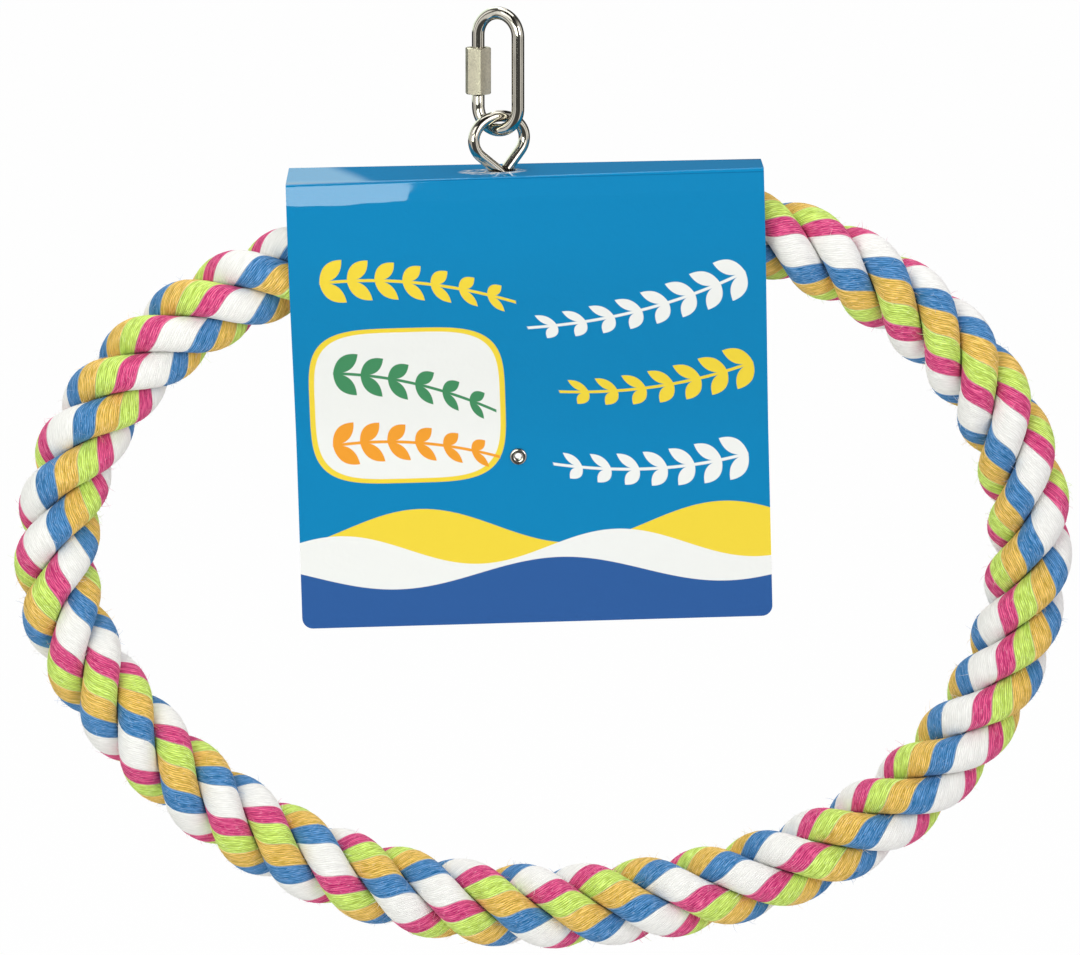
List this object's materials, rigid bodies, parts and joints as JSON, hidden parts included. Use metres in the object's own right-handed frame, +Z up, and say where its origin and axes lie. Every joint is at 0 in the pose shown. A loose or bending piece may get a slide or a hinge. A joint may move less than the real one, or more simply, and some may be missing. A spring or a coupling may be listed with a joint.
{
  "type": "bird swing",
  "caption": "Oval bird swing: a laid rope ring on a bendable wire core, closed by a collar under a folded hang card and hung by an eye bolt from a quick link.",
  "frame": {"origin": "highest point of the quick link's inner opening, where the swing hangs on a hook, bar or cage wire", "axes": "+X to the right along the ring's width, +Z up, -Y towards the front panel of the card"},
  "size_m": [0.3347, 0.0336, 0.3016],
  "materials": {
    "polished_steel": "polished",
    "satin_steel": "satin",
    "galvanised_wire": "satin",
    "white_vinyl": "satin",
    "binding_tape": "matte",
    "cotton_yarn": "matte",
    "printed_card": "gloss"
  },
  "bodies": {
    "link": {"link_body": "polished_steel"},
    "sleeve": {"link_sleeve": "satin_steel"},
    "bolt": {"eye_bolt": "polished_steel", "washer": "satin_steel", "lock_nut": "satin_steel"},
    "ring": {"collar": "white_vinyl", "end_binding_right": "binding_tape", "end_binding_left": "binding_tape", "core_wire": "galvanised_wire", "strand_1": "cotton_yarn", "strand_2": "cotton_yarn", "strand_3": "cotton_yarn", "hang_card": "printed_card", "card_eyelet": "polished_steel"}
  },
  "joints": [
    {"name": "sleeve_travel", "type": "slide", "parent": "link", "child": "sleeve", "axis": [0, 0, 1], "range_m": [0, 0.0058]},
    {"name": "ring_swing", "type": "hinge", "parent": "link", "child": "bolt", "pos_m": [0, 0, -0.0348], "axis": [0.866, -0.5, 0], "range_deg": [-35, 35]},
    {"name": "eye_swivel", "type": "hinge", "parent": "bolt", "child": "ring", "pos_m": [0, 0, -0.0348], "axis": [-0.1045, 0, 0.9945], "continuous": true}
  ]
}
